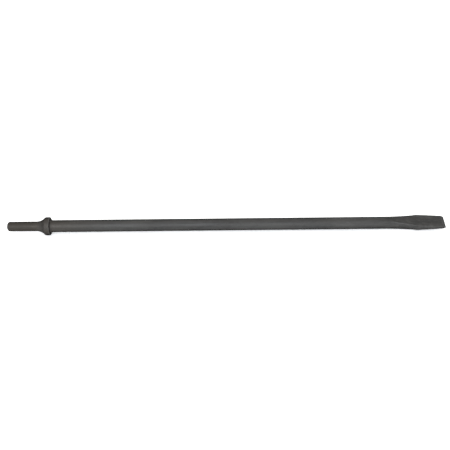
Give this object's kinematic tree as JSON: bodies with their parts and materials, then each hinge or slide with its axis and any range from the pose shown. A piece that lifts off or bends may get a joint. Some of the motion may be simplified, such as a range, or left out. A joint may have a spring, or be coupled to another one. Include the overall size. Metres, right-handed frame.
{
  "type": "cold chisel",
  "caption": "Long cold chisel bit for an air hammer: round shank, coned retaining collar, round bar, and a flattened blade ground to a straight cutting edge.",
  "frame": {"origin": "centre of the flat striking face at the shank's end", "axes": "+X along the tool's axis towards the cutting edge, +Z square to one of the blade's wide faces, +Y along the cutting edge"},
  "size_m": [0.4572, 0.019, 0.019],
  "materials": {
    "oxidised_steel": "matte, dark grey heat-treatment oxide over forged and rolled steel",
    "ground_edge": "satin, ground across the edge and darkened"
  },
  "bodies": {
    "root": {"shank": "oxidised_steel", "collar": "oxidised_steel", "bar": "oxidised_steel", "blade": "oxidised_steel", "cutting_edge": "ground_edge"}
  },
  "joints": []
}
